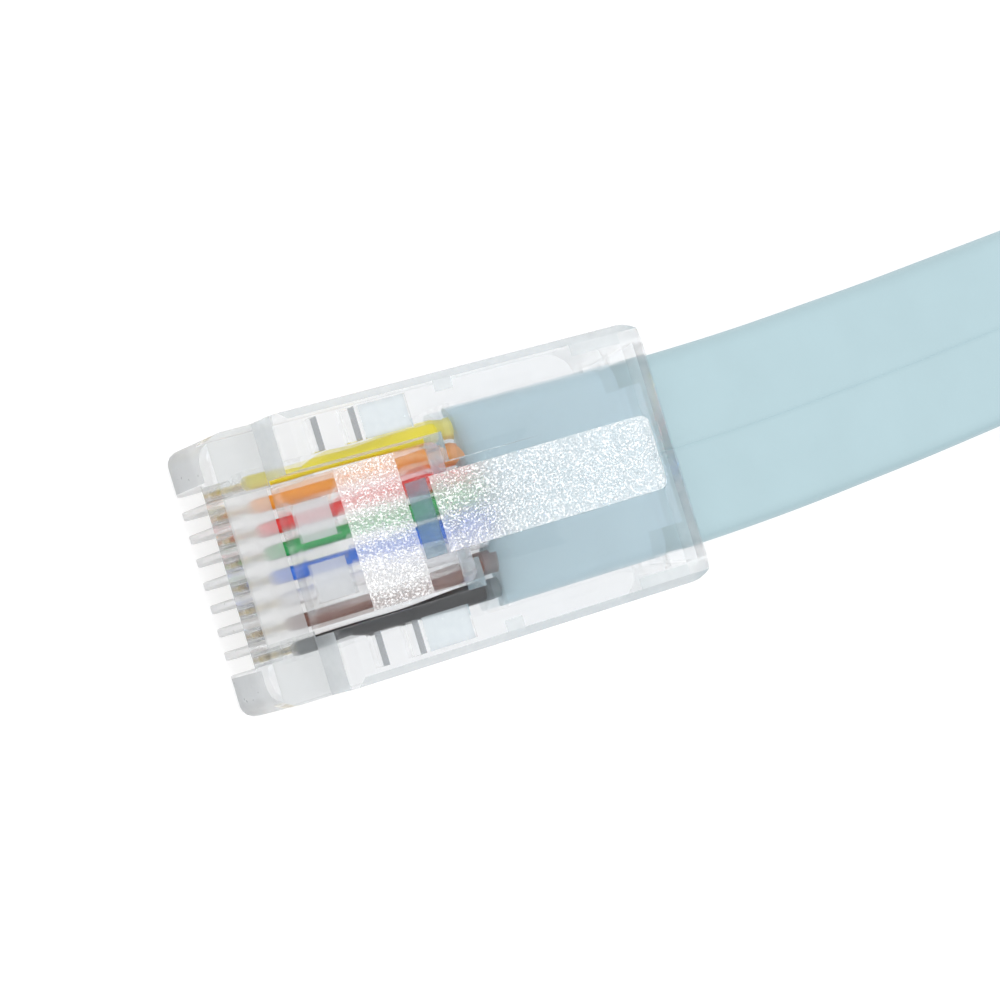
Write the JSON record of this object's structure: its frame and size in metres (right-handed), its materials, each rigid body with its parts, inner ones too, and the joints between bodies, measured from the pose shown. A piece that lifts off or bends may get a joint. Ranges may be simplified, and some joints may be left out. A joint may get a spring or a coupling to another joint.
{
  "type": "console cable",
  "caption": "Flat light-blue cable with a clear modular plug at each end, each plug with a springy latch; a short stretch lies straight and the rest is coiled.",
  "frame": {"origin": "middle of the near plug's contact side, on the floor that it lies on", "axes": "+X from the near plug's nose towards its cable, +Z from its contact side towards its latch, +Y across it"},
  "size_m": [0.1416, 0.1078, 0.0125],
  "materials": {
    "clear_plastic": "clear, glossy, with an etched patch on the latch",
    "contact_gold": "gold-plated",
    "jacket": "smooth satin",
    "wire_yellow": "smooth",
    "wire_orange": "smooth",
    "wire_red": "smooth",
    "wire_green": "smooth",
    "wire_blue": "smooth",
    "wire_white": "smooth",
    "wire_brown": "smooth",
    "wire_black": "smooth",
    "tie": "plain"
  },
  "bodies": {
    "plugs_and_cable": {"plug_housing": "clear_plastic", "contact_1": "contact_gold", "contact_2": "contact_gold", "contact_3": "contact_gold", "contact_4": "contact_gold", "contact_5": "contact_gold", "contact_6": "contact_gold", "contact_7": "contact_gold", "contact_8": "contact_gold", "wire_yellow": "wire_yellow", "wire_orange": "wire_orange", "wire_red": "wire_red", "wire_green": "wire_green", "wire_blue": "wire_blue", "wire_white": "wire_white", "wire_brown": "wire_brown", "wire_black": "wire_black", "far_plug_housing": "clear_plastic", "far_contact_1": "contact_gold", "far_contact_2": "contact_gold", "far_contact_3": "contact_gold", "far_contact_4": "contact_gold", "far_contact_5": "contact_gold", "far_contact_6": "contact_gold", "far_contact_7": "contact_gold", "far_contact_8": "contact_gold", "far_wire_yellow": "wire_yellow", "far_wire_orange": "wire_orange", "far_wire_red": "wire_red", "far_wire_green": "wire_green", "far_wire_blue": "wire_blue", "far_wire_white": "wire_white", "far_wire_brown": "wire_brown", "far_wire_black": "wire_black", "cable_lead": "jacket", "cable_coil": "jacket", "cable_tail": "jacket", "cable_tie": "tie"},
    "near_latch": {"latch": "clear_plastic"},
    "distant_latch": {"far_latch": "clear_plastic"}
  },
  "joints": [
    {"name": "latch_press", "type": "hinge", "parent": "plugs_and_cable", "child": "near_latch", "pos_m": [-0.00805, 0, 0.00455], "axis": [0, 1, 0], "range_deg": [0, 7], "stiffness_Nm_per_rad": 0.05},
    {"name": "far_latch_press", "type": "hinge", "parent": "plugs_and_cable", "child": "distant_latch", "pos_m": [0.06115, -0.0473, 0.00584], "axis": [0, 0, -1], "range_deg": [0, 7], "stiffness_Nm_per_rad": 0.05}
  ]
}
